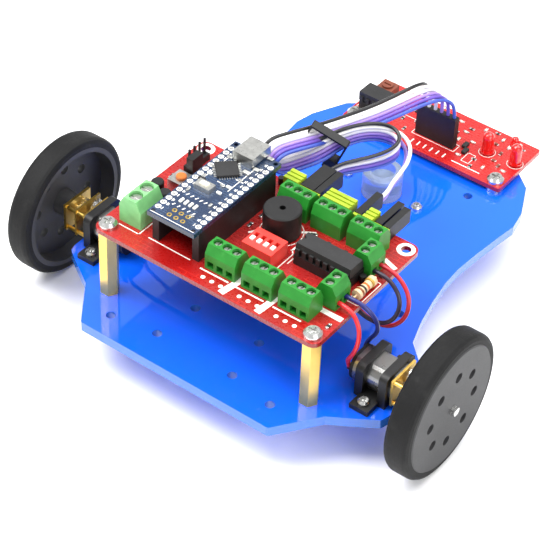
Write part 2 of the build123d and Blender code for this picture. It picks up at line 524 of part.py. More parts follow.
# ------------------------------------------------------------------ line sensor board
sp = box(-SENS_X, SENS_X, SENS_Y0, SENS_Y1, SENS_Z0, SENS_Z1)
sp = fil(sp, sp.edges().filter_by(Axis.Z), 1.0)
for s in (1, -1):
    sp = sp - cyl(s * SENS_HX, SENS_HY, SENS_Z0 - 1, SENS_Z1 + 1, M3_HOLE_R)
save("sensor_board", sp)
SI = (-30.0, -19.8, 104.5, 111.7)
sic = [box(SI[0] + 0.2, SI[1] - 0.2, SI[2] + 0.3, SI[3] - 0.3, SENS_Z1, SENS_Z1 + 3.4)]
b = box(SI[0], SI[1], SI[2] + 0.35, SI[3] - 0.35, SENS_Z1 + 3.8, SENS_Z1 + 7.2)
for i in range(4):
    x = (SI[0] + SI[1]) / 2 + (i - 1.5) * 2.54
    b = b + box(x - 0.65, x + 0.65, SI[2] - 0.25, SI[2] + 0.8, SENS_Z1 + 5.3, SENS_Z1 + 5.6) + box(x - 0.65, x + 0.65, SI[3] - 0.8, SI[3] + 0.25, SENS_Z1 + 5.3, SENS_Z1 + 5.6)
    b = b + box(x - 0.65, x + 0.65, SI[2] - 0.25, SI[2] + 0.05, SENS_Z1 + 3.4, SENS_Z1 + 5.4) + box(x - 0.65, x + 0.65, SI[3] - 0.05, SI[3] + 0.25, SENS_Z1 + 3.4, SENS_Z1 + 5.4)
sic.append(b)
save("sensor_chip_and_socket", group(sic))
SPX0, SPX1, SPY = -7.0, 8.3, 107.2
PLUG_TOP = 33.4
plug = [box(SPX0, SPX1, SPY - 1.27, SPY + 1.27, SENS_Z1, SENS_Z1 + 2.5), box(SPX0, SPX1, SPY - 1.3, SPY + 1.3, SENS_Z1 + 2.5, PLUG_TOP)]
save("sensor_plug", group(plug))
em = []
for x in (-25.0, -12.5, 0.0, 12.5, 25.0):
    em.append(cyl(x - 2.1, 120.0, SENS_Z0 - 5.2, SENS_Z0, 1.6))
    em.append(cyl(x + 2.1, 120.0, SENS_Z0 - 5.2, SENS_Z0, 1.6))
save("floor_sensors", group(em))
tr = box(-29.0, -23.0, 113.6, 119.6, SENS_Z1, SENS_Z1 + 4.6)
tr = tr + cyl(-26.0, 116.6, SENS_Z1 + 4.6, SENS_Z1 + 5.4, 2.0)
tr = tr - box(-27.4, -24.6, 116.25, 116.95, SENS_Z1 + 4.8, SENS_Z1 + 6)
save("sensor_trimmer", tr)

# ------------------------------------------------------------------ cords
def radii(pts):
    v = [Vector(*p) for p in pts]
    out_ = []
    for i in range(1, len(v) - 1):
        a, c = v[i] - v[i - 1], v[i + 1] - v[i]
        th = math.radians(a.get_angle(c))
        out_.append(0.45 * min(a.length, c.length) / math.tan(th / 2))
    return out_


def tube(name, pts, dia):
    rr = radii(pts)
    path = FilletPolyline(*[tuple(p) for p in pts], radius=rr)
    d = (Vector(*pts[1]) - Vector(*pts[0])).normalized()
    prof = Plane(origin=tuple(pts[0]), z_dir=tuple(d)) * Circle(dia / 2)
    s = sweep(prof, path=path)
    want = math.pi * dia ** 2 / 4 * path.length
    print("%-12s length %.1f volume %.1f of %.1f radii %s" % (name, path.length, s.volume, want, " ".join("%.1f" % r for r in rr)))
    return s


# Ribbon of six jumper wires: rises from the plug on the sensor board, runs back to the control board's
# front edge, folds on itself behind the USB port, returns under the tie, loops on edge and enters the plugs.
WIRE_D = 1.25
routes = {}


def unit(a):
    l = math.sqrt(sum(t * t for t in a))
    return tuple(t / l for t in a)


def mix(a, b, t):
    return unit(tuple((1 - t) * u + t * w for u, w in zip(a, b)))


AX = (1, 0, 0)
FL = unit((0.87, -0.20, -0.45))      # width direction of the flat ribbon
DN = (0, 0, -1)                      # width direction where it stands on edge
CENTRE = [((0.65, 107.2, 33.4), AX, 2.54), ((0.65, 107.1, 36.9), AX, 2.45), ((0.8, 106.4, 40.7), mix(AX, FL, 0.3), 2.1),
          ((0.2, 103.0, 43.8), mix(AX, FL, 0.6), 1.7), ((-1.2, 97.0, 45.1), FL, 1.45), ((-3.2, 88.5, 45.3), FL, 1.36),
          ((-5.4, 79.0, 45.8), FL, 1.32), ((-7.8, 69.3, 46.9), FL, 1.3), ((-10.2, 59.8, 48.3), FL, 1.3), ((-12.7, 50.6, 49.8), FL, 1.3),
          ((-15.0, 43.4, 51.0), FL, 1.3), ((-16.9, 38.6, 51.2), FL, 1.3), ((-18.0, 35.9, 48.9), FL, 1.3), ((-17.9, 36.2, 45.3), FL, 1.3),
          ((-16.4, 39.4, 43.2), FL, 1.3), ((-13.4, 45.0, 43.6), FL, 1.3), ((-9.4, 50.8, 45.4), mix(FL, DN, 0.35), 1.3),
          ((-6.1, 56.8, 48.2), mix(FL, DN, 0.75), 1.3), ((-2.2, 63.2, 49.4), DN, 1.3), ((2.9, 68.1, 49.2), DN, 1.3),
          ((7.4, 69.4, 48.4), DN, 1.3), ((10.8, 67.0, 47.6), DN, 1.3), ((11.1, 62.4, 47.0), DN, 1.3), ((8.2, 56.3, 46.6), DN, 1.3),
          ((4.5, 50.6, 46.7), DN, 1.3), ((1.9, 46.0, 46.9), DN, 1.3), ((1.3, 42.0, 46.95), DN, 1.3)]
SLOT = {0: 0, 2: 1, 4: 2, 5: 3}      # the four wires that reach the left plug
DROP = {1: [(8.3, 71.1, 49.6), (13.2, 69.8, 47.6), (15.8, 65.0, 45.6), (16.6, 59.2, 44.8), (17.6, 53.4, 45.2), (19.4, 48.6, 46.6), (20.5, 44.8, 47.5), (20.55, 41.5, 47.6)],
        3: [(8.2, 71.0, 46.9), (12.2, 69.2, 45.0), (14.9, 64.4, 43.1), (16.0, 58.6, 42.5), (17.2, 53.0, 43.1), (19.1, 48.2, 44.9), (20.5, 44.6, 46.0), (20.55, 41.5, 46.2)]}
ribbon = []
ends = []
for i in range(6):
    w = []
    for k, (c, wd, pt) in enumerate(CENTRE):
        o = (i - 2.5) * pt
        if i in DROP and k >= 20:
            continue
        if i in SLOT and k > 20:
            t = min(1.0, (k - 20) / 5.0)
            o = (1 - t) * o + t * (SLOT[i] - 1.5) * 1.3
        w.append(tuple(c[q] + wd[q] * o for q in range(3)))
    w += DROP.get(i, [])
    routes["ribbon_%d" % i] = w
    ribbon.append(tube("ribbon_%d" % i, w, WIRE_D))
save("ribbon_cable", group(ribbon))

MW_D = 1.4
mw = {
    "right_1": [(35.6, -4.15, 46.6), (39.4, -4.25, 46.8), (43.6, -4.9, 46.0), (46.6, -6.0, 42.6), (47.2, -7.0, 38.0), (46.0, -7.2, 33.4),
                (43.9, -6.4, 29.4), (42.8, -5.0, 26.6), (42.9, -4.1, 24.2)],
    "right_2": [(35.6, -0.65, 46.6), (39.4, -0.6, 46.9), (43.8, -0.2, 46.2), (46.9, 0.9, 43.0), (47.8, 2.4, 38.4), (46.6, 3.8, 33.8),
                (44.2, 4.6, 29.8), (42.8, 4.4, 26.9), (42.9, 4.0, 24.2)],
    "left_1": [(35.6, 13.85, 46.6), (39.4, 13.9, 46.9), (44.0, 13.8, 46.0), (48.4, 12.7, 42.4), (49.2, 10.6, 37.6), (46.6, 8.6, 34.0), (41.6, 7.5, 33.4),
               (35.6, 7.1, 36.0), (28.0, 7.0, 39.2), (18.0, 6.7, 40.6), (6.0, 6.6, 40.2), (-8.0, 6.1, 40.5), (-20.0, 5.0, 39.8), (-29.0, 3.2, 37.4),
               (-35.6, 0.2, 33.6), (-40.2, -2.6, 29.6), (-42.7, -3.8, 26.8), (-42.9, -4.05, 24.2)],
    "left_2": [(35.6, 17.35, 46.6), (39.4, 17.4, 46.8), (44.8, 17.2, 45.6), (49.8, 15.7, 41.6), (51.0, 12.9, 36.2), (47.8, 10.3, 32.2), (42.0, 9.1, 31.6),
               (35.8, 8.9, 34.4), (28.4, 8.7, 37.6), (18.2, 8.8, 39.2), (6.0, 8.4, 38.8), (-8.0, 8.1, 39.1), (-20.0, 7.5, 38.4), (-29.0, 6.8, 35.8),
               (-35.8, 5.8, 31.8), (-40.4, 4.9, 28.6), (-42.7, 4.3, 26.4), (-42.9, 4.0, 24.2)],
}
routes.update(mw)
for side in ("right", "left"):
    save(side + "_motor_wires", group([tube(side + "_%d" % k, mw[side + "_%d" % k], MW_D) for k in (1, 2)]))

# cable tie: a flat loop round both runs of the ribbon with its square lock underneath
TC = (-9.0, 54.0, 47.4)
tie = Box(13.6, 3.2, 9.4) - Box(12.2, 5, 8.0)
tie = fil(tie, tie.edges().filter_by(Axis.Y), 0.6)
tie = tie + Pos(4.6, 0, -6.2) * Box(4.2, 3.8, 4.2)
tie = Location(TC, (0, 22, 14)) * tie
save("cable_tie", tie)
for k, pts in routes.items():
    print(k, [tuple(round(c, 2) for c in (p[0], p[1] + SHIFT_Y, p[2])) for p in pts])
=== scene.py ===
import bpy, bmesh, math, random
from mathutils import Vector, Matrix


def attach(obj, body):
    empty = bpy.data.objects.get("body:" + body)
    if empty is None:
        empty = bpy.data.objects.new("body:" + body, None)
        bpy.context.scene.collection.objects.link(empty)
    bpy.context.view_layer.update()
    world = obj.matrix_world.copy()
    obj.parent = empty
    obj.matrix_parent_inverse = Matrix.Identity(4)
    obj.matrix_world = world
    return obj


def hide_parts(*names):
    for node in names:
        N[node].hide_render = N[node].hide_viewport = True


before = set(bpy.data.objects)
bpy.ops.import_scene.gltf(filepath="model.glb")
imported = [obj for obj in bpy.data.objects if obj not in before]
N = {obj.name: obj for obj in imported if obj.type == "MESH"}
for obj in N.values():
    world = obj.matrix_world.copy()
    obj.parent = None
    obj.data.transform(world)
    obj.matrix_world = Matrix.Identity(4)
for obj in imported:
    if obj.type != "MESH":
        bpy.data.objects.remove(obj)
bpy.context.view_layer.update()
random.seed(7)
SY = -45.0          # the axle line's Y in the row frame, in mm


def mm(x, y, z):
    return Vector((x / 1000, (y + SY) / 1000, z / 1000))


def lin(r, g, b, a=1.0):
    f = lambda c: (c / 255 / 12.92) if c / 255 <= 0.04045 else ((c / 255 + 0.055) / 1.055) ** 2.4
    return (f(r), f(g), f(b), a)


# ------------------------------------------------------------------ camera
cam = bpy.data.cameras.new("camera")
cob = bpy.data.objects.new("camera", cam)
bpy.context.scene.collection.objects.link(cob)
AZ, EL, RO, FPX = 0.60689, 0.73439, 0.04998, 2009.65
d = Vector((-math.sin(AZ) * math.cos(EL), math.cos(AZ) * math.cos(EL), -math.sin(EL)))
r = Vector((math.cos(AZ), math.sin(AZ), 0))
u = r.cross(d)
r2 = r * math.cos(RO) + u * math.sin(RO)
u2 = -r * math.sin(RO) + u * math.cos(RO)
m = Matrix.Identity(4)
for i in range(3):
    m[i][0], m[i][1], m[i][2] = r2[i], u2[i], -d[i]
loc = mm(269.22, -368.42, 443.85)
for i in range(3):
    m[i][3] = loc[i]
cob.matrix_world = m
cam.sensor_width = 36
cam.lens = FPX / 560 * 36
cam.clip_start, cam.clip_end = 0.01, 20
bpy.context.scene.camera = cob


# ------------------------------------------------------------------ materials
class Mat:
    def __init__(self, name, base, rough=0.5, metal=0.0, var=0.08, scale=120, bump=0.15, bscale=900, coat=0.0, coat_rough=0.1,
                 trans=0.0, ior=1.46, rvar=0.08, sheen=0.0, sss=0.0, alpha=1.0, dist=0.00005, wear=0.0):
        self.m = bpy.data.materials.new(name)
        self.m.use_nodes = True
        t = self.t = self.m.node_tree
        t.nodes.clear()
        out = t.nodes.new("ShaderNodeOutputMaterial")
        p = self.p = t.nodes.new("ShaderNodeBsdfPrincipled")
        t.links.new(p.outputs[0], out.inputs[0])
        tc = self.tc = t.nodes.new("ShaderNodeTexCoord")
        n1 = t.nodes.new("ShaderNodeTexNoise")
        n1.inputs["Scale"].default_value = scale
        n1.inputs["Detail"].default_value = 6
        t.links.new(tc.outputs["Object"], n1.inputs["Vector"])
        ramp = self.ramp = t.nodes.new("ShaderNodeValToRGB")
        c0 = [c * (1 - var * 1.6) for c in base[:3]] + [1]
        c1 = [min(1, c * (1 + var * 1.2) + var * 0.02) for c in base[:3]] + [1]
        ramp.color_ramp.elements[0].position = 0.3
        ramp.color_ramp.elements[1].position = 0.72
        ramp.color_ramp.elements[0].color = c0
        ramp.color_ramp.elements[1].color = c1
        t.links.new(n1.outputs["Fac"], ramp.inputs["Fac"])
        self.color = ramp.outputs[0]
        t.links.new(self.color, p.inputs["Base Color"])
        n2 = self.n2 = t.nodes.new("ShaderNodeTexNoise")
        n2.inputs["Scale"].default_value = bscale
        n2.inputs["Detail"].default_value = 8
        t.links.new(tc.outputs["Object"], n2.inputs["Vector"])
        mr = t.nodes.new("ShaderNodeMapRange")
        mr.inputs["To Min"].default_value = max(0.02, rough - rvar)
        mr.inputs["To Max"].default_value = min(1, rough + rvar)
        t.links.new(n2.outputs["Fac"], mr.inputs["Value"])
        t.links.new(mr.outputs[0], p.inputs["Roughness"])
        self.height = n2.outputs["Fac"]
        b = self.b = t.nodes.new("ShaderNodeBump")
        b.inputs["Strength"].default_value = bump
        b.inputs["Distance"].default_value = dist
        t.links.new(self.height, b.inputs["Height"])
        t.links.new(b.outputs[0], p.inputs["Normal"])
        p.inputs["Metallic"].default_value = metal
        p.inputs["IOR"].default_value = ior
        p.inputs["Coat Weight"].default_value = coat
        p.inputs["Coat Roughness"].default_value = coat_rough
        p.inputs["Transmission Weight"].default_value = trans
        p.inputs["Sheen Weight"].default_value = sheen
        p.inputs["Subsurface Weight"].default_value = sss
        p.inputs["Subsurface Radius"].default_value = (0.002, 0.002, 0.002)
        p.inputs["Alpha"].default_value = alpha

    def node(self, kind, **kw):
        n = self.t.nodes.new(kind)
        for k, v in kw.items():
            setattr(n, k, v)
        return n

    def link(self, a, b):
        self.t.links.new(a, b)

    def mixcolor(self, fac, color):
        mx = self.node("ShaderNodeMix", data_type="RGBA")
        self.link(fac, mx.inputs[0])
        self.link(self.color, mx.inputs[6])
        mx.inputs[7].default_value = color
        self.color = mx.outputs[2]
        self.link(self.color, self.p.inputs["Base Color"])
        return mx

    def addheight(self, sock, amount=1.0):
        a = self.node("ShaderNodeMath", operation="MULTIPLY_ADD")
        self.link(sock, a.inputs[0])
        a.inputs[1].default_value = amount
        self.link(self.height, a.inputs[2])
        self.height = a.outputs[0]
        self.link(self.height, self.b.inputs["Height"])


def acrylic():
    M = Mat("blue_acrylic_sheet", lin(8, 92, 240), 0.07, 0, 0.05, 14, 0.02, 300, coat=0.6, coat_rough=0.03, ior=1.49, rvar=0.03)
    g = M.node("ShaderNodeNewGeometry")
    s = M.node("ShaderNodeSeparateXYZ")
    M.link(g.outputs["Normal"], s.inputs[0])
    ab = M.node("ShaderNodeMath", operation="ABSOLUTE")
    M.link(s.outputs["Z"], ab.inputs[0])
    painted_edge_mask = M.node("ShaderNodeMapRange")
    painted_edge_mask.inputs["From Min"].default_value = 0.2
    painted_edge_mask.inputs["From Max"].default_value = 0.8
    painted_edge_mask.inputs["To Min"].default_value = 1
    painted_edge_mask.inputs["To Max"].default_value = 0
    M.link(ab.outputs[0], painted_edge_mask.inputs["Value"])
    # the laser-cut edge: a paler tone painted on by face direction (painted light), with fine vertical striations in
    # the bump
    M.mixcolor(painted_edge_mask.outputs[0], lin(36, 104, 205))
    mp = M.node("ShaderNodeMapping")
    mp.inputs["Scale"].default_value = (1, 1, 0.02)
    M.link(M.tc.outputs["Object"], mp.inputs["Vector"])
    nz = M.node("ShaderNodeTexNoise")
    nz.inputs["Scale"].default_value = 2600
    M.link(mp.outputs[0], nz.inputs["Vector"])
    mu = M.node("ShaderNodeMath", operation="MULTIPLY")
    M.link(nz.outputs["Fac"], mu.inputs[0])
    M.link(painted_edge_mask.outputs[0], mu.inputs[1])
    M.addheight(mu.outputs[0], 4.0)
    return M.m


def board(name, base, trace, scale=260):
    M = Mat(name, base, 0.28, 0, 0.10, 60, 0.08, 1200, coat=0.35, coat_rough=0.12, ior=1.5, rvar=0.06)
    br = M.node("ShaderNodeTexBrick")
    br.inputs["Scale"].default_value = scale
    br.inputs["Mortar Size"].default_value = 0.035
    br.inputs["Mortar Smooth"].default_value = 0.3
    br.inputs["Brick Width"].default_value = 1.7
    br.inputs["Row Height"].default_value = 0.42
    br.inputs["Color1"].default_value = (0, 0, 0, 1)
    br.inputs["Color2"].default_value = (0, 0, 0, 1)
    br.inputs["Mortar"].default_value = (1, 1, 1, 1)
    M.link(M.tc.outputs["Object"], br.inputs["Vector"])
    nz = M.node("ShaderNodeTexNoise")
    nz.inputs["Scale"].default_value = 90
    M.link(M.tc.outputs["Object"], nz.inputs["Vector"])
    th = M.node("ShaderNodeMath", operation="GREATER_THAN")
    th.inputs[1].default_value = 0.5
    M.link(nz.outputs["Fac"], th.inputs[0])
    mu = M.node("ShaderNodeMath", operation="MULTIPLY")
    M.link(br.outputs["Fac"], mu.inputs[0])
    M.link(th.outputs[0], mu.inputs[1])
    M.mixcolor(mu.outputs[0], trace)
    M.addheight(mu.outputs[0], 0.6)
    # painted shade: the board's side faces are darkened to 55% of its colour, picked by face direction
    g = M.node("ShaderNodeNewGeometry")
    s = M.node("ShaderNodeSeparateXYZ")
    M.link(g.outputs["Normal"], s.inputs[0])
    ab = M.node("ShaderNodeMath", operation="ABSOLUTE")
    M.link(s.outputs["Z"], ab.inputs[0])
    painted_edge_mask = M.node("ShaderNodeMapRange")
    painted_edge_mask.inputs["From Min"].default_value = 0.2
    painted_edge_mask.inputs["From Max"].default_value = 0.8
    painted_edge_mask.inputs["To Min"].default_value = 0.75
    painted_edge_mask.inputs["To Max"].default_value = 0
    M.link(ab.outputs[0], painted_edge_mask.inputs["Value"])
    M.mixcolor(painted_edge_mask.outputs[0], tuple(0.55 * c for c in base[:3]) + (1,))
    return M.m


def tyre_mat():
    M = Mat("tyre_rubber", lin(15, 15, 16), 0.66, 0, 0.18, 60, 0.25, 1500, rvar=0.1, dist=0.00008, ior=1.3)
    s = M.node("ShaderNodeSeparateXYZ")
    M.link(M.tc.outputs["Object"], s.inputs[0])
    mu = M.node("ShaderNodeMath", operation="MULTIPLY")
    mu.inputs[1].default_value = 2 * math.pi / 0.0014
    M.link(s.outputs["X"], mu.inputs[0])
    sn = M.node("ShaderNodeMath", operation="SINE")
    M.link(mu.outputs[0], sn.inputs[0])
    mx = M.node("ShaderNodeMath", operation="MAXIMUM")
    mx.inputs[1].default_value = 0.55
    M.link(sn.outputs[0], mx.inputs[0])
    M.addheight(mx.outputs[0], -1.6)
    # dust scuffed onto the tread
    nz = M.node("ShaderNodeTexNoise")
    nz.inputs["Scale"].default_value = 240
    nz.inputs["Detail"].default_value = 9
    M.link(M.tc.outputs["Object"], nz.inputs["Vector"])
    rp = M.node("ShaderNodeMapRange")
    rp.inputs["From Min"].default_value = 0.58
    rp.inputs["From Max"].default_value = 0.75
    rp.inputs["To Max"].default_value = 0.35
    M.link(nz.outputs["Fac"], rp.inputs["Value"])
    M.mixcolor(rp.outputs[0], lin(40, 40, 39))
    return M.m


def brushed(name, base, rough, axis=0, s=1400, grain=1.5):
    M = Mat(name, base, rough, 1.0, 0.10, 90, 0.10, 700, rvar=0.08)
    mp = M.node("ShaderNodeMapping")
    sc = [1, 1, 1]
    sc[axis] = 0.03
    mp.inputs["Scale"].default_value = sc
    M.link(M.tc.outputs["Object"], mp.inputs["Vector"])
    nz = M.node("ShaderNodeTexNoise")
    nz.inputs["Scale"].default_value = s
    M.link(mp.outputs[0], nz.inputs["Vector"])
    M.addheight(nz.outputs["Fac"], grain)
    return M.m


def pl(name, rgb, rough=0.42, **kw):
    return Mat(name, lin(*rgb), rough, 0, kw.pop("var", 0.10), kw.pop("scale", 220), kw.pop("bump", 0.22), kw.pop("bscale", 2200), **kw).m


def moulded(name, rgb, rough=0.42, tip=None, **kw):
    # moulded plastic that pales a little where it has been handled
    M = Mat(name, lin(*rgb), rough, 0, kw.pop("var", 0.10), kw.pop("scale", 220), kw.pop("bump", 0.22), kw.pop("bscale", 2200), **kw)
    nz = M.node("ShaderNodeTexNoise")
    nz.inputs["Scale"].default_value = 700
    nz.inputs["Detail"].default_value = 10
    M.link(M.tc.outputs["Object"], nz.inputs["Vector"])
    rp = M.node("ShaderNodeMapRange")
    rp.inputs["From Min"].default_value = 0.6
    rp.inputs["From Max"].default_value = 0.8
    rp.inputs["To Max"].default_value = 0.25
    M.link(nz.outputs["Fac"], rp.inputs["Value"])
    M.mixcolor(rp.outputs[0], tip or lin(*[min(255, c + 40) for c in rgb]))
    return M.m


A = acrylic()
RED = board("red_solder_mask", lin(158, 16, 14), lin(186, 38, 30))
RED2 = board("red_solder_mask_sensor", lin(182, 26, 26), lin(208, 62, 54), 330)
BLUEB = board("blue_solder_mask", lin(28, 46, 74), lin(66, 88, 118), 420)
TYRE = tyre_mat()
HUB = pl("hub_grey_nylon", (52, 52, 54), 0.55, scale=90, bump=0.3)
BRASS = brushed("brass_machined", lin(232, 196, 108), 0.36, 2, grain=0.3)
BRASS_G = brushed("brass_plate", lin(226, 188, 96), 0.3, 1)
STEEL = brushed("bright_steel", lin(214, 214, 212), 0.26, 1)
CAN = brushed("nickel_can", lin(140, 140, 138), 0.3, 0)
TIN = Mat("tinned_contact", lin(208, 208, 204), 0.3, 1.0, 0.12, 500, 0.2, 1800).m
SOLDER = Mat("solder", lin(222, 222, 220), 0.25, 1.0, 0.15, 700, 0.3, 1500).m
GOLD = Mat("gold_flash", lin(236, 200, 110), 0.3, 1.0, 0.12, 500, 0.15, 1500).m
GREEN = moulded("terminal_green", (30, 122, 36), 0.38, tip=lin(84, 164, 78))
GREEN2 = moulded("terminal_pale_green", (118, 186, 118), 0.42, tip=lin(170, 216, 165))
BLACK = moulded("black_nylon", (13, 13, 14), 0.48)
CHIP = moulded("chip_epoxy", (30, 30, 31), 0.6, bump=0.4)
# painted shade for recesses: a near-black material, made but not given to any part
RECESS_SHADE = pl("painted_recess_shade", (12, 12, 13), 0.7)
CREAM = pl("cream_plastic", (226, 222, 205), 0.35)
REDP = moulded("switch_red", (226, 60, 52), 0.38)
YEL = moulded("header_yellow", (150, 172, 34), 0.45)
ORANGE = moulded("button_orange", (206, 110, 46), 0.35)
LENS = Mat("red_lens", lin(228, 20, 18), 0.12, 0, 0.08, 200, 0.05, 900, coat=0.6, trans=0.25, ior=1.5, sss=0.2).m
WHITE = pl("white_nylon", (238, 238, 232), 0.4)
BROWN = moulded("brown_plastic", (120, 62, 44), 0.45)
CLEAR = Mat("clear_nylon", lin(206, 222, 244), 0.2, 0, 0.06, 120, 0.12, 700, trans=0.72, ior=1.42, sss=0.0, rvar=0.08).m
SILK = Mat("silkscreen_ink", lin(244, 240, 232), 0.6, 0, 0.08, 900, 0.3, 2500).m


def resistor():
    M = Mat("resistor_body", lin(216, 184, 146), 0.4, 0, 0.08, 300, 0.2, 1500)
    s = M.node("ShaderNodeSeparateXYZ")
    M.link(M.tc.outputs["Object"], s.inputs[0])
    for y, c in ((3.3, (120, 60, 20)), (4.9, (30, 26, 24)), (6.4, (196, 92, 30)), (8.6, (178, 140, 60))):
        sub = M.node("ShaderNodeMath", operation="SUBTRACT")
        M.link(s.outputs["Y"], sub.inputs[0])
        sub.inputs[1].default_value = (y + SY) / 1000
        ab = M.node("ShaderNodeMath", operation="ABSOLUTE")
        M.link(sub.outputs[0], ab.inputs[0])
        lt = M.node("ShaderNodeMath", operation="LESS_THAN")
        lt.inputs[1].default_value = 0.00042
        M.link(ab.outputs[0], lt.inputs[0])
        M.mixcolor(lt.outputs[0], lin(*c))
    return M.m


RES = resistor()
assign = {
    "chassis_plate": A, "brass_posts": BRASS, "m3_screws": STEEL, "sensor_spacers_and_nuts": STEEL, "main_board": RED, "sensor_board": RED2,
    "rear_port_terminals": GREEN, "front_port_terminals": GREEN, "motor_terminals": GREEN, "power_terminal": GREEN2, "terminal_screws": TIN,
    "controller_sockets": BLACK, "controller_board": BLUEB, "controller_header_pins": BLACK, "controller_chips": CHIP, "controller_usb_port": TIN,
    "push_switch_bodies": TIN, "reset_button": CREAM, "buzzer": BLACK, "dip_switch_body": REDP, "driver_chip_socket": BLACK, "driver_chip": CHIP,
    "port_headers": YEL, "side_headers": BLACK, "jumper_plugs": BLACK, "start_button": ORANGE, "indicator_leds": LENS, "capacitors": BLACK,
    "axial_resistor": RES, "motor_end_caps": BLACK, "motor_brackets": BLACK, "m2_screws_and_nuts": STEEL, "caster_housing": CLEAR, "caster_ball": STEEL,
    "sensor_chip_and_socket": CHIP, "sensor_plug": BLACK, "floor_sensors": CLEAR, "sensor_trimmer": BROWN, "cable_tie": BLACK,
}
for i in range(1, 5):
    assign["dip_slider_%d" % i] = WHITE
for s in ("left", "right"):
    assign.update({s + "_tyre": TYRE, s + "_wheel_hub": HUB, s + "_output_shaft": STEEL, s + "_layshaft": STEEL, s + "_motor_armature": STEEL,
                   s + "_motor_can": CAN, s + "_gearbox_frame": BRASS_G})
for n, mt in assign.items():
    o = N[n]
    o.data.materials.clear()
    o.data.materials.append(mt)
    for p in o.data.polygons:
        p.material_index = 0
BEVEL = {"rear_port_terminals": 0.25, "front_port_terminals": 0.25, "motor_terminals": 0.25, "power_terminal": 0.3, "sensor_plug": 0.2, "jumper_plugs": 0.18,
         "dip_switch_body": 0.15, "driver_chip_socket": 0.15, "controller_board": 0.08, "main_board": 0.1, "sensor_board": 0.1, "port_headers": 0.15,
         "chassis_plate": 0.2, "motor_brackets": 0.2, "cable_tie": 0.2, "brass_posts": 0.12, "controller_usb_port": 0.12}
for n, w in BEVEL.items():
    md = N[n].modifiers.new("soft_edges", "BEVEL")
    md.width = w / 1000
    md.segments = 2
    md.limit_method = "ANGLE"
    md.angle_limit = math.radians(35)
    md.use_clamp_overlap = True
    md.harden_normals = False


# ------------------------------------------------------------------ pieces
def link(o, body="chassis"):
    bpy.context.scene.collection.objects.link(o)
    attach(o, body)
    return o


def mesh_obj(name, bm, mat, body="chassis", smooth=False):
    me = bpy.data.meshes.new(name)
    bmesh.ops.recalc_face_normals(bm, faces=bm.faces[:])
    bm.to_mesh(me)
    bm.free()
    me.materials.append(mat)
    if smooth:
        for p in me.polygons:
            p.use_smooth = True
    return link(bpy.data.objects.new(name, me), body)


def add_box(bm, x0, x1, y0, y1, z0, z1, bev=0.06, rot=0.0):
    c = Vector(((x0 + x1) / 2, (y0 + y1) / 2, (z0 + z1) / 2))
    ge = bmesh.ops.create_cube(bm, size=1.0)
    vs = ge["verts"]
    R = Matrix.Rotation(rot, 3, "Z")
    for v in vs:
        q = Vector((v.co.x * (x1 - x0), v.co.y * (y1 - y0), v.co.z * (z1 - z0)))
        v.co = (R @ q + c)
        v.co = mm(*v.co)
    if bev:
        es = list({e for v in vs for e in v.link_edges})
        bmesh.ops.bevel(bm, geom=es, offset=bev / 1000, segments=2, profile=0.6, affect="EDGES")


def add_disc(bm, x, y, z0, z1, r, r_in=0.0, seg=28, dome=False):
    vs0, vs1, in0, in1 = [], [], [], []
    for i in range(seg):
        a = 2 * math.pi * i / seg
        ca, sa = math.cos(a), math.sin(a)
        vs0.append(bm.verts.new(mm(x + r * ca, y + r * sa, z0)))
        vs1.append(bm.verts.new(mm(x + r * 0.94 * ca, y + r * 0.94 * sa, z1)))
        if r_in:
            in0.append(bm.verts.new(mm(x + r_in * ca, y + r_in * sa, z0)))
            in1.append(bm.verts.new(mm(x + r_in * ca, y + r_in * sa, z1)))
    for i in range(seg):
        j = (i + 1) % seg
        bm.faces.new((vs0[i], vs0[j], vs1[j], vs1[i]))
        if r_in:
            bm.faces.new((vs1[i], vs1[j], in1[j], in1[i]))
            bm.faces.new((in1[i], in1[j], in0[j], in0[i]))
            bm.faces.new((in0[i], in0[j], vs0[j], vs0[i]))
    if not r_in:
        bm.faces.new(vs1)
        bm.faces.new(list(reversed(vs0)))


def add_line(bm, pts, w, z, h=0.05):
    # a printed line: flat strip of width w through pts
    for (x0, y0), (x1, y1) in zip(pts[:-1], pts[1:]):
        L = math.hypot(x1 - x0, y1 - y0)
        a = math.atan2(y1 - y0, x1 - x0)
        add_box(bm, (x0 + x1) / 2 - L / 2 - w / 2, (x0 + x1) / 2 + L / 2 + w / 2, (y0 + y1) / 2 - w / 2, (y0 + y1) / 2 + w / 2, z, z + h, 0.0, a)


def add_blob(bm, x, y, z, r, h):
    # a solder joint: low smooth dome
    seg, rings = 12, 4
    prev = None
    for k in range(rings):
        t = k / (rings - 1)
        rr = r * math.cos(t * math.pi / 2 * 0.92)
        zz = z + h * math.sin(t * math.pi / 2)
        ring = [bm.verts.new(mm(x + rr * math.cos(2 * math.pi * i / seg), y + rr * math.sin(2 * math.pi * i / seg), zz)) for i in range(seg)]
        if prev:
            for i in range(seg):
                j = (i + 1) % seg
                bm.faces.new((prev[i], prev[j], ring[j], ring[i]))
        else:
            bm.faces.new(list(reversed(ring)))
        prev = ring
    bm.faces.new(prev)


# ------------------------------------------------------------------ cords
def wire_mat(name, rgb):
    M = Mat("wire_" + name, lin(*rgb), 0.32, 0, 0.07, 160, 0.15, 1400, coat=0.15, rvar=0.06)
    return M.m


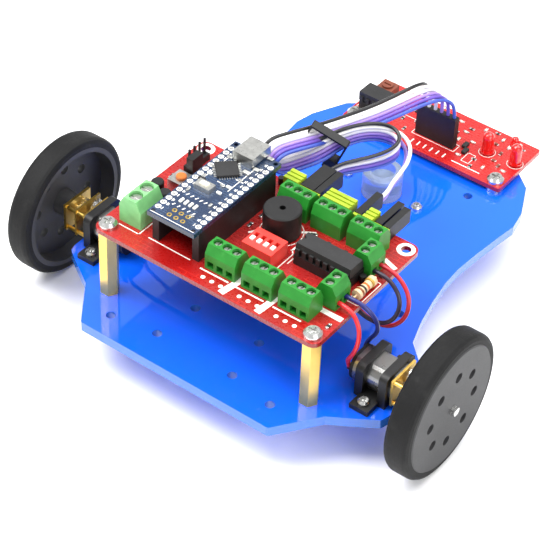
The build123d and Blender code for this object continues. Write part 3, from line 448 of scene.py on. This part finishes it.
RIB_COL = [("black", (20, 20, 22)), ("white", (236, 234, 232)), ("grey", (206, 204, 212)), ("violet", (150, 122, 200)), ("purple", (104, 78, 176)), ("blue", (62, 84, 176))]
ROUTES = {
    "ribbon_0": [(-5.7, 62.2, 33.4), (-5.47, 62.1, 36.9), (-4.39, 61.72, 41.43), (-3.85, 58.53, 44.99), (-4.35, 52.73, 46.73), (-6.16, 44.18, 46.83), (-8.27, 34.66, 47.29), (-10.63, 24.95, 48.36), (-13.03, 15.45, 49.76), (-15.53, 6.25, 51.26), (-17.83, -0.95, 52.46), (-19.73, -5.75, 52.66), (-20.83, -8.45, 50.36), (-20.73, -8.15, 46.76), (-19.23, -4.95, 44.66), (-16.23, 0.65, 45.06), (-11.52, 6.29, 47.81), (-6.89, 11.98, 51.35), (-2.2, 18.2, 52.65), (2.9, 23.1, 52.45), (7.4, 24.4, 51.65), (10.8, 22.0, 50.59), (11.1, 17.4, 49.73), (8.2, 11.3, 49.07), (4.5, 5.6, 48.91), (1.9, 1.0, 48.85), (1.3, -3.0, 48.9)],
    "ribbon_1": [(-3.16, 62.2, 33.4), (-3.03, 62.1, 36.9), (-2.31, 61.59, 41.14), (-2.23, 58.32, 44.51), (-3.09, 52.44, 46.08), (-4.98, 43.91, 46.22), (-7.12, 34.4, 46.69), (-9.5, 24.69, 47.78), (-11.9, 15.19, 49.18), (-14.4, 5.99, 50.68), (-16.7, -1.21, 51.88), (-18.6, -6.01, 52.08), (-19.7, -8.71, 49.78), (-19.6, -8.41, 46.18), (-18.1, -5.21, 44.08), (-15.1, 0.39, 44.48), (-10.67, 6.09, 46.85), (-6.58, 11.91, 50.09), (-2.2, 18.2, 51.35), (2.9, 23.1, 51.15), (8.3, 26.1, 49.6), (13.2, 24.8, 47.6), (15.8, 20.0, 45.6), (16.6, 14.2, 44.8), (17.6, 8.4, 45.2), (19.4, 3.6, 46.6), (20.5, -0.2, 47.5), (20.55, -3.5, 47.6)],
    "ribbon_2": [(-0.62, 62.2, 33.4), (-0.58, 62.1, 36.9), (-0.24, 61.46, 40.85), (-0.61, 58.11, 44.04), (-1.83, 52.15, 45.43), (-3.79, 43.64, 45.61), (-5.97, 34.13, 46.1), (-8.37, 24.43, 47.19), (-10.77, 14.93, 48.59), (-13.27, 5.73, 50.09), (-15.57, -1.47, 51.29), (-17.47, -6.27, 51.49), (-18.57, -8.97, 49.19), (-18.47, -8.67, 45.59), (-16.97, -5.47, 43.49), (-13.97, 0.13, 43.89), (-9.82, 5.9, 45.88), (-6.26, 11.84, 48.83), (-2.2, 18.2, 50.05), (2.9, 23.1, 49.85), (7.4, 24.4, 49.05), (10.8, 22.0, 48.25), (11.1, 17.4, 47.65), (8.2, 11.3, 47.25), (4.5, 5.6, 47.35), (1.9, 1.0, 47.55), (1.3, -3.0, 47.6)],
    "ribbon_3": [(1.92, 62.2, 33.4), (1.88, 62.1, 36.9), (1.84, 61.34, 40.55), (1.01, 57.89, 43.56), (-0.57, 51.85, 44.77), (-2.61, 43.36, 44.99), (-4.83, 33.87, 45.5), (-7.23, 24.17, 46.61), (-9.63, 14.67, 48.01), (-12.13, 5.47, 49.51), (-14.43, -1.73, 50.71), (-16.33, -6.53, 50.91), (-17.43, -9.23, 48.61), (-17.33, -8.93, 45.01), (-15.83, -5.73, 42.91), (-12.83, -0.13, 43.31), (-8.98, 5.7, 44.92), (-5.94, 11.76, 47.57), (-2.2, 18.2, 48.75), (2.9, 23.1, 48.55), (8.2, 26.0, 46.9), (12.2, 24.2, 45.0), (14.9, 19.4, 43.1), (16.0, 13.6, 42.5), (17.2, 8.0, 43.1), (19.1, 3.2, 44.9), (20.5, -0.4, 46.0), (20.55, -3.5, 46.2)],
    "ribbon_4": [(4.46, 62.2, 33.4), (4.33, 62.1, 36.9), (3.91, 61.21, 40.26), (2.63, 57.68, 43.09), (0.69, 51.56, 44.12), (-1.42, 43.09, 44.38), (-3.68, 33.6, 44.91), (-6.1, 23.91, 46.02), (-8.5, 14.41, 47.42), (-11.0, 5.21, 48.92), (-13.3, -1.99, 50.12), (-15.2, -6.79, 50.32), (-16.3, -9.49, 48.02), (-16.2, -9.19, 44.42), (-14.7, -5.99, 42.32), (-11.7, -0.39, 42.72), (-8.13, 5.51, 43.95), (-5.62, 11.69, 46.31), (-2.2, 18.2, 47.45), (2.9, 23.1, 47.25), (7.4, 24.4, 46.45), (10.8, 22.0, 45.91), (11.1, 17.4, 45.57), (8.2, 11.3, 45.43), (4.5, 5.6, 45.79), (1.9, 1.0, 46.25), (1.3, -3.0, 46.3)],
    "ribbon_5": [(7.0, 62.2, 33.4), (6.78, 62.1, 36.9), (5.99, 61.08, 39.97), (4.25, 57.47, 42.61), (1.95, 51.27, 43.47), (-0.24, 42.82, 43.77), (-2.53, 33.34, 44.31), (-4.97, 23.65, 45.44), (-7.37, 14.15, 46.84), (-9.87, 4.95, 48.34), (-12.17, -2.25, 49.54), (-14.07, -7.05, 49.74), (-15.17, -9.75, 47.44), (-15.07, -9.45, 43.84), (-13.57, -6.25, 41.74), (-10.57, -0.65, 42.14), (-7.28, 5.31, 42.99), (-5.31, 11.62, 45.05), (-2.2, 18.2, 46.15), (2.9, 23.1, 45.95), (7.4, 24.4, 45.15), (10.8, 22.0, 44.61), (11.1, 17.4, 44.27), (8.2, 11.3, 44.13), (4.5, 5.6, 44.49), (1.9, 1.0, 44.95), (1.3, -3.0, 45.0)],
    "right_1": [(35.6, -49.15, 46.6), (39.4, -49.25, 46.8), (43.6, -49.9, 46.0), (46.6, -51.0, 42.6), (47.2, -52.0, 38.0), (46.0, -52.2, 33.4), (43.9, -51.4, 29.4), (42.8, -50.0, 26.6), (42.9, -49.1, 24.2)],
    "right_2": [(35.6, -45.65, 46.6), (39.4, -45.6, 46.9), (43.8, -45.2, 46.2), (46.9, -44.1, 43.0), (47.8, -42.6, 38.4), (46.6, -41.2, 33.8), (44.2, -40.4, 29.8), (42.8, -40.6, 26.9), (42.9, -41.0, 24.2)],
    "left_1": [(35.6, -31.15, 46.6), (39.4, -31.1, 46.9), (44.0, -31.2, 46.0), (48.4, -32.3, 42.4), (49.2, -34.4, 37.6), (46.6, -36.4, 34.0), (41.6, -37.5, 33.4), (35.6, -37.9, 36.0), (28.0, -38.0, 39.2), (18.0, -38.3, 40.6), (6.0, -38.4, 40.2), (-8.0, -38.9, 40.5), (-20.0, -40.0, 39.8), (-29.0, -41.8, 37.4), (-35.6, -44.8, 33.6), (-40.2, -47.6, 29.6), (-42.7, -48.8, 26.8), (-42.9, -49.05, 24.2)],
    "left_2": [(35.6, -27.65, 46.6), (39.4, -27.6, 46.8), (44.8, -27.8, 45.6), (49.8, -29.3, 41.6), (51.0, -32.1, 36.2), (47.8, -34.7, 32.2), (42.0, -35.9, 31.6), (35.8, -36.1, 34.4), (28.4, -36.3, 37.6), (18.2, -36.2, 39.2), (6.0, -36.6, 38.8), (-8.0, -36.9, 39.1), (-20.0, -37.5, 38.4), (-29.0, -38.2, 35.8), (-35.8, -39.2, 31.8), (-40.4, -40.1, 28.6), (-42.7, -40.7, 26.4), (-42.9, -41.0, 24.2)],
}


def cord(name, pts, dia, mat, nodes, plugs=()):
    cu = bpy.data.curves.new(name, "CURVE")
    cu.dimensions = "3D"
    sp = cu.splines.new("NURBS")
    sp.points.add(len(pts) - 1)
    for q, pnt in zip(sp.points, pts):
        q.co = (pnt[0] / 1000, pnt[1] / 1000, pnt[2] / 1000, 1)
    sp.order_u = 3
    sp.use_endpoint_u = True
    sp.resolution_u = 10
    cu.bevel_depth = dia / 2000
    cu.bevel_resolution = 5
    cu.use_fill_caps = True
    cu.materials.append(mat)
    o = bpy.data.objects.new(name, cu)
    link(o, "chassis")
    for nd in nodes:
        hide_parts(nd)
    return o


for i in range(6):
    cord("ribbon_%d" % i, ROUTES["ribbon_%d" % i], 1.25, wire_mat(*RIB_COL[i]), ["ribbon_cable"])
cord("right_1", ROUTES["right_1"], 1.4, wire_mat("red", (206, 34, 40)), ["right_motor_wires"])
cord("right_2", ROUTES["right_2"], 1.4, wire_mat("dark_blue", (34, 40, 110)), ["right_motor_wires"])
cord("left_1", ROUTES["left_1"], 1.4, wire_mat("dark", (36, 24, 44)), ["left_motor_wires"])
cord("left_2", ROUTES["left_2"], 1.4, wire_mat("deep_red", (176, 30, 44)), ["left_motor_wires"])

# ------------------------------------------------------------------ printed and soldered detail
PZ, QZ, SZ = 44.6, 57.0, 21.2          # tops of the main board, controller board and sensor board

bm = bmesh.new()
for x, y in ((-38.5, 29.9), (38.5, 29.9)):
    add_disc(bm, x, y, PZ - 0.02, PZ + 0.07, 3.0, 1.66, 40)
add_line(bm, [(-25.2, -14.9), (-9.4, -15.0)], 0.4, PZ)
add_line(bm, [(-36.4, -15.6), (-28.6, -15.6), (-28.6, -5.4)], 0.35, PZ)
for g, (xa, xb) in enumerate(((-4.4, 5.6), (8.9, 18.6), (22.6, 32.2))):
    add_line(bm, [(xa, -15.9), (xb, -15.8)], 0.55, PZ)
    for k in range(3):
        x = 1.75 + g * 13.53 + (k - 1) * 3.3
        add_disc(bm, x, -18.5, PZ - 0.02, PZ + 0.05, 0.75, 0, 16)
for xa, xb in ((6.9, 8.1), (20.2, 20.9)):
    add_line(bm, [(xa, -19.6), (xb, -12.9)], 2.3, PZ)
add_line(bm, [(33.6, -7.9), (40.6, -7.9)], 1.9, PZ)
add_line(bm, [(36.6, 21.9), (40.4, 20.6)], 1.5, PZ)
add_line(bm, [(37.7, 0.0), (41.5, 0.0), (41.5, 12.3), (37.7, 12.3), (37.7, 0.0)], 0.3, PZ)
add_line(bm, [(14.4, 2.2), (14.4, 12.8), (36.4, 12.8)], 0.35, PZ)
add_line(bm, [(-0.4, -5.0), (13.2, -5.0), (13.2, 6.6), (11.9, 7.8)], 0.35, PZ)
add_line(bm, [(11.9, 7.8), (12.2, 12.6), (13.9, 15.6)], 0.6, PZ)
add_line(bm, [(9.6, 16.6), (12.6, 18.6)], 0.9, PZ)
add_line(bm, [(-3.2, 6.4), (-1.2, 9.4)], 0.8, PZ)
for i in range(6):
    add_line(bm, [(-30.2 + 0.4 * i, -3.4 + 3.1 * i), (-28.6 + 0.3 * i, -3.4 + 3.1 * i)], 0.35, PZ)
for i in range(24):
    a = 2 * math.pi * i / 24
    b = 2 * math.pi * (i + 1) / 24
    add_line(bm, [(4.2 + 6.9 * math.cos(a), 12.8 + 6.9 * math.sin(a)), (4.2 + 6.9 * math.cos(b), 12.8 + 6.9 * math.sin(b))], 0.25, PZ)
mesh_obj("main_board_print", bm, SILK)

bm = bmesh.new()
parts = [(16.6, 14.4, 0.0), (23.4, 14.4, 0.0), (29.6, 14.2, 0.0), (12.9, -7.2, 0.0), (-2.6, -6.2, 1.57), (-5.0, 9.0, 1.57), (-4.8, 14.8, 1.57), (13.0, 17.6, 0.4), (-29.4, 26.6, 0.0),
         (-28.8, 21.8, 1.57), (39.6, 15.0, 0), (28.4, -7.0, 0), (24.2, -7.2, 0), (20.2, -7.0, 0), (-38.2, 12.2, 1.57), (-29.0, 4.2, 1.57), (40.0, -12.6, 1.57)]
for x, y, a in parts:
    for s in (1, -1):
        dx, dy = 0.82 * s * math.cos(a), 0.82 * s * math.sin(a)
        add_box(bm, x + dx - 0.34, x + dx + 0.34, y + dy - 0.5, y + dy + 0.5, PZ, PZ + 0.55, 0.08, a)
for x in (-23.13, -7.87):
    for i in range(15):
        add_blob(bm, x, -14.2 + 1.27 + i * 2.54, 57.0, 0.62, 0.55)
mesh_obj("solder_and_end_caps", bm, SOLDER, smooth=False)
bm = bmesh.new()
for k, (x, y, a) in enumerate(parts):
    add_box(bm, x - 0.5, x + 0.5, y - 0.48, y + 0.48, PZ + 0.02, PZ + 0.5, 0.05, a)
mesh_obj("chip_resistors", bm, CHIP)
bm = bmesh.new()
for x, y in ((33.2, 14.0), (-9.4, 31.4), (-28.6, 30.4)):
    add_box(bm, x - 1.1, x + 1.1, y - 0.65, y + 0.65, PZ + 0.1, PZ + 1.2, 0.15)
mesh_obj("tantalum_capacitors", bm, ORANGE)

# soldered joints on the underside of the main board
bm = bmesh.new()


def under(x, y, r=0.75):
    n0 = len(bm.verts)
    add_blob(bm, x, y, 43.0, r, 0.7)
    bm.verts.ensure_lookup_table()
    for v in bm.verts[n0:]:
        v.co.z = 2 * 0.043 - v.co.z


for cx in (1.75, 15.3, 28.8):
    for k in (-1, 0, 1):
        under(cx + 3.5 * k, -10.6)
for cx in (2.2, 15.1, 28.5):
    for k in (-1, 0, 1):
        under(cx + 3.5 * k, 23.2)
for cy in (-2.4, 15.6):
    for k in (-0.5, 0.5):
        under(33.6, cy + 3.5 * k)
for k in (-0.5, 0.5):
    under(-32.8, -8.6 + 5.08 * k, 1.0)
for x in (-23.13, -7.87):
    for i in range(15):
        under(x, -14.2 + 1.27 + i * 2.54, 0.6)
for i in range(8):
    for y in (3.7, 11.3):
        under(25.5 + (i - 3.5) * 2.54, y, 0.6)
for i in range(4):
    for y in (-2.8, 4.8):
        under(2.69 + 2.54 * i, y, 0.6)
mesh_obj("underside_solder", bm, SOLDER, smooth=True)

# ------------------------------------------------------------------ controller board detail
bm = bmesh.new()
for x in (-23.13, -7.87):
    for i in range(15):
        add_disc(bm, x, -14.2 + 1.27 + i * 2.54, QZ - 0.02, QZ + 0.05, 0.98, 0.62, 20)
for i in range(15):
    for x, s in ((-21.6, 1), (-9.4, -1)):
        y = -14.2 + 1.27 + i * 2.54
        add_line(bm, [(x, y - 0.45), (x, y + 0.45)], 0.28, QZ, 0.03)
        if i % 3:
            add_line(bm, [(x + s * 0.45, y - 0.4), (x + s * 0.45, y + 0.3)], 0.2, QZ, 0.03)
add_line(bm, [(-23.6, -15.9), (-7.4, -15.9)], 0.22, QZ, 0.03)
add_line(bm, [(-21.0, 5.6), (-21.0, 19.0)], 0.25, QZ, 0.03)
add_line(bm, [(-11.2, 5.6), (-11.2, 19.0)], 0.25, QZ, 0.03)
for i in range(5):
    add_line(bm, [(-20.3 + i * 1.9, -9.6), (-20.0 + i * 1.9, -8.9)], 0.35, QZ, 0.03)
    add_line(bm, [(-19.9 + i * 1.7, -3.4), (-19.5 + i * 1.7, -2.7)], 0.35, QZ, 0.03)
for s in ((-16.5, 7.4), (-12.6, 11.6)):
    add_line(bm, [s, (s[0] + 2.6, s[1] - 0.1)], 0.3, QZ, 0.03)
mesh_obj("controller_print", bm, SILK)
bm = bmesh.new()
for i, x in enumerate((-19.2, -17.4, -15.6, -13.9)):
    add_box(bm, x - 0.42, x + 0.42, -7.7, -5.7, QZ, QZ + 0.6, 0.12)
for x, y in ((-12.6, 3.0), (-20.6, 8.8), (-12.0, 7.0)):
    add_box(bm, x - 0.8, x + 0.8, y - 0.45, y + 0.45, QZ, QZ + 0.6, 0.1)
mesh_obj("controller_leds", bm, WHITE)
bm = bmesh.new()
c45 = math.cos(math.pi / 4)
for side in range(4):
    a = math.pi / 4 + side * math.pi / 2
    for i in range(8):
        o = (i - 3.5) * 0.78
        cx = -17.5 + 3.9 * math.cos(a) - o * math.sin(a)
        cy = 13.3 + 3.9 * math.sin(a) + o * math.cos(a)
        add_box(bm, cx - 0.5, cx + 0.5, cy - 0.17, cy + 0.17, QZ, QZ + 0.22, 0.04, a)
for x, y, w_, h_ in ((-11.2, 11.9, 1.4, 0.8), (-13.8, 6.3, 1.5, 0.8), (-21.4, 6.6, 0.8, 1.5), (-11.0, -3.2, 0.8, 1.5), (-20.9, -1.4, 0.8, 1.5), (-12.2, -10.6, 1.5, 0.8)):
    add_box(bm, x - w_ / 2, x + w_ / 2, y - h_ / 2, y + h_ / 2, QZ, QZ + 0.6, 0.1)
add_box(bm, -13.2, -10.6, 15.0, 16.5, QZ, QZ + 0.8, 0.25)
for x, y in ((-20.6, 19.0), (-10.6, 19.0), (-20.6, 26.0), (-10.4, 26.0)):
    add_box(bm, x - 1.0, x + 1.0, y - 0.7, y + 0.7, QZ, QZ + 0.5, 0.12)
mesh_obj("controller_legs_and_tabs", bm, TIN)
bm = bmesh.new()
for i in range(3):
    for j_ in range(2):
        add_disc(bm, -18.1 + i * 2.54, -13.9 + j_ * 2.54, QZ - 0.02, QZ + 0.06, 0.85, 0.42, 20)
mesh_obj("programming_pads", bm, GOLD)

# ------------------------------------------------------------------ sensor board detail
bm = bmesh.new()
for i in range(6):
    add_line(bm, [(-5.2 + i * 2.6, 100.6), (-5.2 + i * 2.6, 102.4)], 0.5, SZ)
add_line(bm, [(11.4, 100.9), (22.2, 100.9)], 0.4, SZ)
for x, y, r in ((18.2, 112.5, 2.9), (29.0, 113.0, 2.8)):
    for i in range(20):
        a, b = 2 * math.pi * i / 20, 2 * math.pi * (i + 1) / 20
        add_line(bm, [(x + r * math.cos(a), y + r * math.sin(a)), (x + r * math.cos(b), y + r * math.sin(b))], 0.22, SZ)
for x0, x1, y0, y1 in ((-31.0, -18.8, 104.0, 112.2), (-7.9, 9.2, 105.2, 109.2), (-29.8, -22.2, 112.9, 120.4), (-17, -9, 112.0, 116), (13.6, 16.6, 103, 108), (22.4, 25.6, 119.0, 123.4)):
    add_line(bm, [(x0, y0), (x1, y0), (x1, y1), (x0, y1), (x0, y0)], 0.22, SZ)
mesh_obj("sensor_board_print", bm, SILK)
rng = random.Random(11)
spots = []
keep = [(-31.4, -18.4, 103.4, 112.6), (-8.4, 9.8, 105.0, 109.4), (15.0, 21.4, 109.4, 115.6), (26.0, 31.6, 110.0, 116.0), (-32, -24.6, 98, 104.8), (24.6, 32, 98, 104.6), (-30.2, -21.8, 112.6, 120.6), (-6.5, 13, 99.5, 103.2)]
for _ in range(900):
    x, y = rng.uniform(-30, 30.4), rng.uniform(99.6, 123.6)
    if any(a - 1.1 < x < b + 1.1 and c - 1.1 < y < d_ + 1.1 for a, b, c, d_ in keep):
        continue
    if any(abs(x - p[0]) < 2.6 and abs(y - p[1]) < 2.3 for p in spots):
        continue
    spots.append((x, y, rng.choice((0.0, math.pi / 2)), rng.random()))
    if len(spots) > 46:
        break
bme, bmd, bmw, bmb = bmesh.new(), bmesh.new(), bmesh.new(), bmesh.new()
for x, y, a, t in spots:
    for s in (1, -1):
        add_box(bme, x + 0.72 * s * math.cos(a) - 0.3, x + 0.72 * s * math.cos(a) + 0.3, y + 0.72 * s * math.sin(a) - 0.45, y + 0.72 * s * math.sin(a) + 0.45, SZ, SZ + 0.5, 0.08, a)
    tgt = bmd if t < 0.45 else (bmw if t < 0.75 else bmb)
    add_box(tgt, x - 0.45, x + 0.45, y - 0.42, y + 0.42, SZ + 0.02, SZ + (0.45 if t < 0.75 else 0.8), 0.05, a)
for x, y in ((10.8, 110.4), (12.4, 107.6)):
    add_box(bmd, x - 0.8, x + 0.8, y - 1.4, y + 1.4, SZ + 0.05, SZ + 1.1, 0.12)
mesh_obj("sensor_board_solder", bme, SOLDER)
mesh_obj("sensor_board_resistors", bmd, CHIP)
mesh_obj("sensor_board_pale_parts", bmw, CREAM)
mesh_obj("sensor_board_capacitors", bmb, BROWN)


# ------------------------------------------------------------------ floor and light
bm = bmesh.new()
bmesh.ops.create_grid(bm, x_segments=8, y_segments=8, size=3.0)
me = bpy.data.meshes.new("floor")
bm.to_mesh(me)
bm.free()
fl = bpy.data.objects.new("floor", me)
me.materials.append(Mat("paper_floor", (0.93, 0.93, 0.93, 1), 0.55, 0, 0.01, 4, 0.03, 400, rvar=0.05).m)
bpy.context.scene.collection.objects.link(fl)
fl.location.z = -0.0002


def area(name, pos, aim, size, power, col=(1, 1, 1)):
    l = bpy.data.lights.new(name, "AREA")
    l.shape = "SQUARE"
    l.size = size
    l.energy = power
    l.color = col
    o = bpy.data.objects.new(name, l)
    o.location = pos
    dv = Vector(aim) - Vector(pos)
    o.rotation_euler = dv.to_track_quat("-Z", "Y").to_euler()
    bpy.context.scene.collection.objects.link(o)


area("key", (-0.35, -0.25, 0.75), (0, 0, 0.02), 0.5, 9.0)
area("top", (0.15, 0.35, 0.9), (0, 0, 0.02), 0.8, 9.0)
area("side", (0.8, -0.3, 0.45), (0, 0, 0.02), 0.5, 4.5)
w = bpy.data.worlds.new("studio")
bpy.context.scene.world = w
w.use_nodes = True
w.node_tree.nodes["Background"].inputs[0].default_value = (1, 1, 1, 1)
w.node_tree.nodes["Background"].inputs[1].default_value = 0.75
bpy.context.scene.view_settings.view_transform = "Standard"
